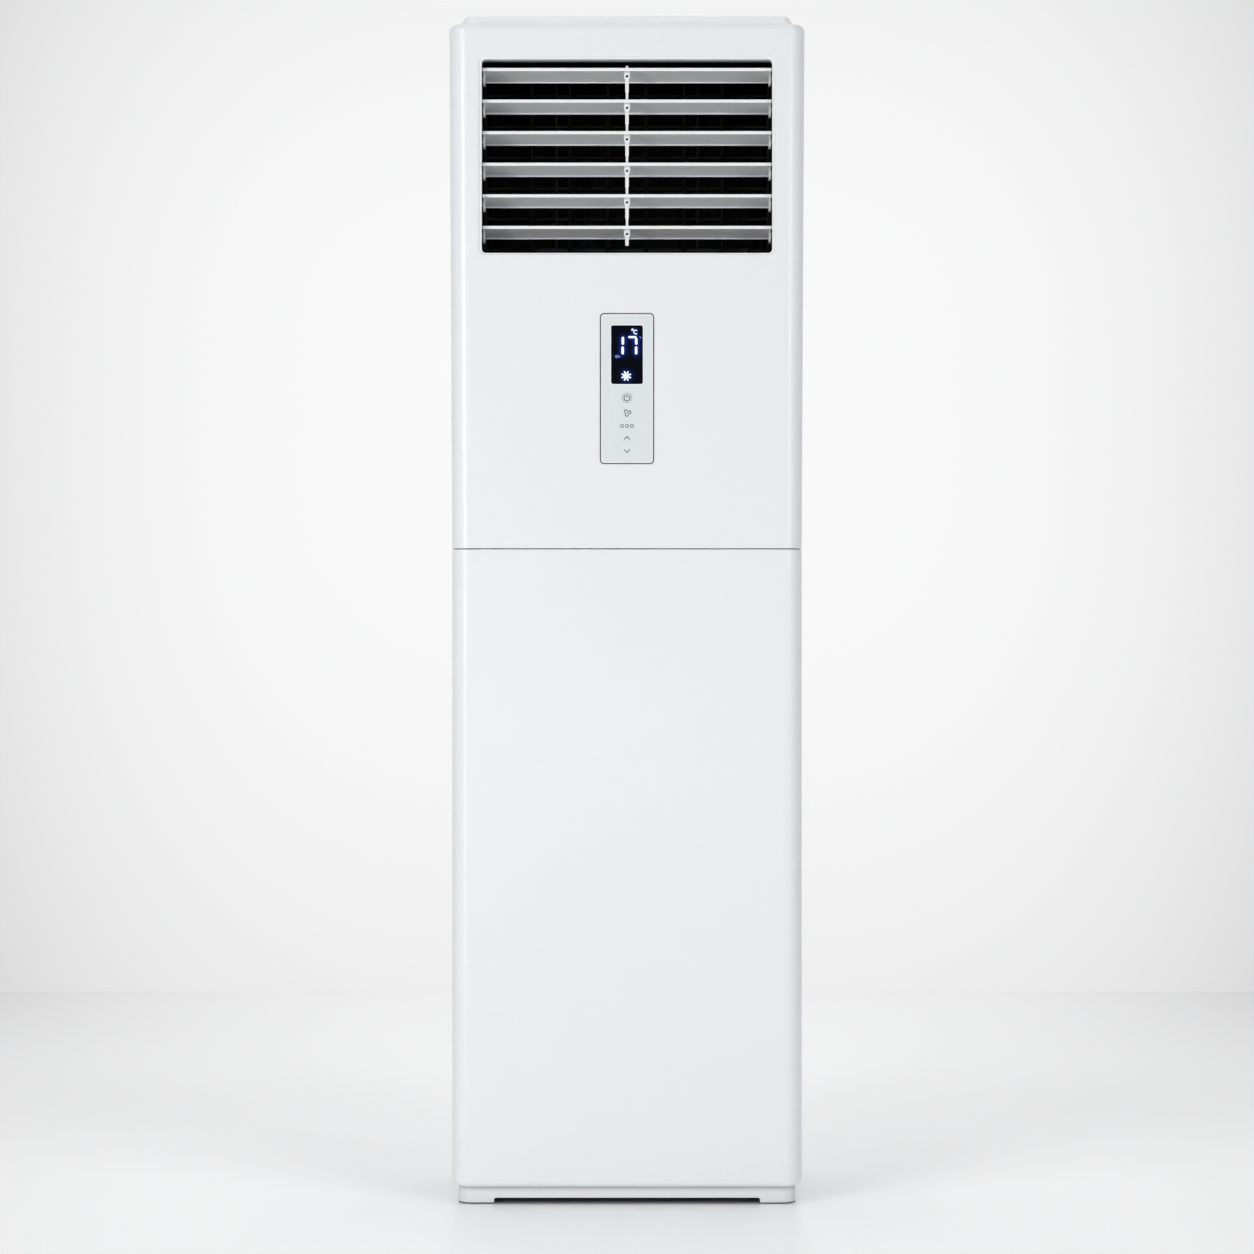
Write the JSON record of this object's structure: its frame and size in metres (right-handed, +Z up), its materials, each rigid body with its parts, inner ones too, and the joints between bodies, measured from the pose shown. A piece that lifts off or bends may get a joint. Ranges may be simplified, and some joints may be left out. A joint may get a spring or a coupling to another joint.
{
  "type": "floor-standing air conditioner",
  "caption": "Tall floor-standing indoor air conditioner: louvred outlet with swinging vanes, display and touch face, scroll blower, coil chamber and side intakes with filters.",
  "frame": {"origin": "middle of the footprint on the floor", "axes": "+Z up, the front with the outlet faces -Y, +X to the right of a viewer who faces the front"},
  "size_m": [0.516, 0.315, 1.724],
  "materials": {
    "cabinet_white": "smooth satin powder coat",
    "panel_white": "satin moulding",
    "lid_white": "satin moulding",
    "plinth_white": "fine matt moulding",
    "louvre_white": "fine matt moulding",
    "frame_white": "fine matt moulding",
    "duct_black": "matt black moulding",
    "overlay_gloss": "glossy overlay",
    "display_glass": "dark tinted window",
    "inner_black": "matt black moulding",
    "board_green": "solder mask",
    "galvanised": "galvanised sheet",
    "screw_steel": "zinc plated",
    "foam": "closed cell foam",
    "fin_aluminium": "thin fins",
    "copper": "bare copper",
    "nut_brass": "machined",
    "wheel_plastic": "dark moulding",
    "motor_steel": "dark enamel",
    "grille_white": "fine matt moulding",
    "filter_mesh": "woven mesh",
    "grommet_rubber": "soft rubber",
    "hose_grey": "ribbed hose",
    "terminal_cream": "moulding"
  },
  "bodies": {
    "cabinet": {"back_panel": "cabinet_white", "base_plinth": "plinth_white", "blower_housing": "galvanised", "blower_motor": "motor_steel", "case_screws": "screw_steel", "control_box": "galvanised", "control_box_cover": "galvanised", "control_overlay": "overlay_gloss", "cross_member": "galvanised", "display_board": "board_green", "display_housing": "inner_black", "display_window": "display_glass", "drain_hose": "hose_grey", "drain_pan": "inner_black", "evaporator_end_plates": "galvanised", "evaporator_fins": "fin_aluminium", "fan_capacitor": "inner_black", "flare_nuts": "nut_brass", "gas_pipe": "copper", "inlet_ring": "wheel_plastic", "insulation_liner": "foam", "left_side_panel": "cabinet_white", "liquid_pipe": "copper", "louvre_frame": "frame_white", "lower_front_panel": "panel_white", "main_board": "board_green", "mid_deck": "galvanised", "motor_bracket": "galvanised", "outlet_duct": "duct_black", "outlet_guard": "duct_black", "pipe_grommet": "grommet_rubber", "return_bends": "copper", "right_side_panel": "cabinet_white", "suction_header": "copper", "swing_motor": "screw_steel", "terminal_block": "terminal_cream", "top_cover": "lid_white", "upper_front_panel": "panel_white"},
    "louvre_1": {"louvre_1": "louvre_white"},
    "louvre_2": {"louvre_2": "louvre_white"},
    "louvre_3": {"louvre_3": "louvre_white"},
    "louvre_4": {"louvre_4": "louvre_white"},
    "louvre_5": {"louvre_5": "louvre_white"},
    "louvre_6": {"louvre_6": "louvre_white"},
    "louvre_tie_bar": {"louvre_link": "louvre_white"},
    "vane_1": {"vane_1": "duct_black"},
    "vane_2": {"vane_2": "duct_black"},
    "vane_3": {"vane_3": "duct_black"},
    "vane_4": {"vane_4": "duct_black"},
    "vane_5": {"vane_5": "duct_black"},
    "vane_6": {"vane_6": "duct_black"},
    "vane_tie_bar": {"vane_link": "inner_black"},
    "swing_crank": {"swing_crank": "louvre_white"},
    "blower_wheel": {"blower_impeller": "wheel_plastic", "motor_shaft": "screw_steel", "impeller_nut": "screw_steel"},
    "left_intake": {"left_intake_grille": "grille_white", "left_filter": "filter_mesh"},
    "right_intake": {"right_intake_grille": "grille_white", "right_filter": "filter_mesh"}
  },
  "joints": [
    {"name": "louvre_1_tilt", "type": "hinge", "parent": "cabinet", "child": "louvre_1", "pos_m": [0, -0.1095, 1.637], "axis": [1, 0, 0], "range_deg": [-17, 33]},
    {"name": "louvre_2_tilt", "type": "hinge", "parent": "cabinet", "child": "louvre_2", "pos_m": [0, -0.1095, 1.5912], "axis": [1, 0, 0], "range_deg": [-17, 33]},
    {"name": "louvre_3_tilt", "type": "hinge", "parent": "cabinet", "child": "louvre_3", "pos_m": [0, -0.1095, 1.5454], "axis": [1, 0, 0], "range_deg": [-17, 33]},
    {"name": "louvre_4_tilt", "type": "hinge", "parent": "cabinet", "child": "louvre_4", "pos_m": [0, -0.1095, 1.4996], "axis": [1, 0, 0], "range_deg": [-17, 33]},
    {"name": "louvre_5_tilt", "type": "hinge", "parent": "cabinet", "child": "louvre_5", "pos_m": [0, -0.1095, 1.4538], "axis": [1, 0, 0], "range_deg": [-17, 33]},
    {"name": "louvre_6_tilt", "type": "hinge", "parent": "cabinet", "child": "louvre_6", "pos_m": [0, -0.1095, 1.408], "axis": [1, 0, 0], "range_deg": [-17, 33]},
    {"name": "louvre_tie_bar_swing", "type": "hinge", "parent": "louvre_1", "child": "louvre_tie_bar", "pos_m": [0, -0.1319, 1.6357], "axis": [1, 0, 0], "range_deg": [-33, 17]},
    {"name": "vane_1_turn", "type": "hinge", "parent": "cabinet", "child": "vane_1", "pos_m": [-0.14, -0.052, 1.517], "axis": [0, 0, 1], "range_deg": [-35, 35]},
    {"name": "vane_2_turn", "type": "hinge", "parent": "cabinet", "child": "vane_2", "pos_m": [-0.084, -0.052, 1.517], "axis": [0, 0, 1], "range_deg": [-35, 35]},
    {"name": "vane_3_turn", "type": "hinge", "parent": "cabinet", "child": "vane_3", "pos_m": [-0.028, -0.052, 1.517], "axis": [0, 0, 1], "range_deg": [-35, 35]},
    {"name": "vane_4_turn", "type": "hinge", "parent": "cabinet", "child": "vane_4", "pos_m": [0.028, -0.052, 1.517], "axis": [0, 0, 1], "range_deg": [-35, 35]},
    {"name": "vane_5_turn", "type": "hinge", "parent": "cabinet", "child": "vane_5", "pos_m": [0.084, -0.052, 1.517], "axis": [0, 0, 1], "range_deg": [-35, 35]},
    {"name": "vane_6_turn", "type": "hinge", "parent": "cabinet", "child": "vane_6", "pos_m": [0.14, -0.052, 1.517], "axis": [0, 0, 1], "range_deg": [-35, 35]},
    {"name": "vane_tie_bar_swing", "type": "hinge", "parent": "vane_1", "child": "vane_tie_bar", "pos_m": [-0.14, -0.034, 1.395], "axis": [0, 0, 1], "range_deg": [-35, 35]},
    {"name": "swing_crank_turn", "type": "hinge", "parent": "cabinet", "child": "swing_crank", "pos_m": [0.176, -0.052, 1.38], "axis": [0, 0, 1], "range_deg": [-35, 35]},
    {"name": "blower_spin", "type": "hinge", "parent": "cabinet", "child": "blower_wheel", "pos_m": [-0.024, 0, 0.56], "axis": [0, 1, 0], "continuous": true},
    {"name": "left_intake_slide", "type": "slide", "parent": "cabinet", "child": "left_intake", "axis": [-1, 0, 0], "range_m": [0, 0.06]},
    {"name": "right_intake_slide", "type": "slide", "parent": "cabinet", "child": "right_intake", "axis": [1, 0, 0], "range_m": [0, 0.06]}
  ],
  "couplings": [
    {"joint": "louvre_2_tilt", "follows": "louvre_1_tilt", "ratio": 1},
    {"joint": "louvre_3_tilt", "follows": "louvre_1_tilt", "ratio": 1},
    {"joint": "louvre_4_tilt", "follows": "louvre_1_tilt", "ratio": 1},
    {"joint": "louvre_5_tilt", "follows": "louvre_1_tilt", "ratio": 1},
    {"joint": "louvre_6_tilt", "follows": "louvre_1_tilt", "ratio": 1},
    {"joint": "louvre_tie_bar_swing", "follows": "louvre_1_tilt", "ratio": -1},
    {"joint": "vane_2_turn", "follows": "vane_1_turn", "ratio": 1},
    {"joint": "vane_3_turn", "follows": "vane_1_turn", "ratio": 1},
    {"joint": "vane_4_turn", "follows": "vane_1_turn", "ratio": 1},
    {"joint": "vane_5_turn", "follows": "vane_1_turn", "ratio": 1},
    {"joint": "vane_6_turn", "follows": "vane_1_turn", "ratio": 1},
    {"joint": "vane_tie_bar_swing", "follows": "vane_1_turn", "ratio": -1},
    {"joint": "swing_crank_turn", "follows": "vane_1_turn", "ratio": 1}
  ]
}
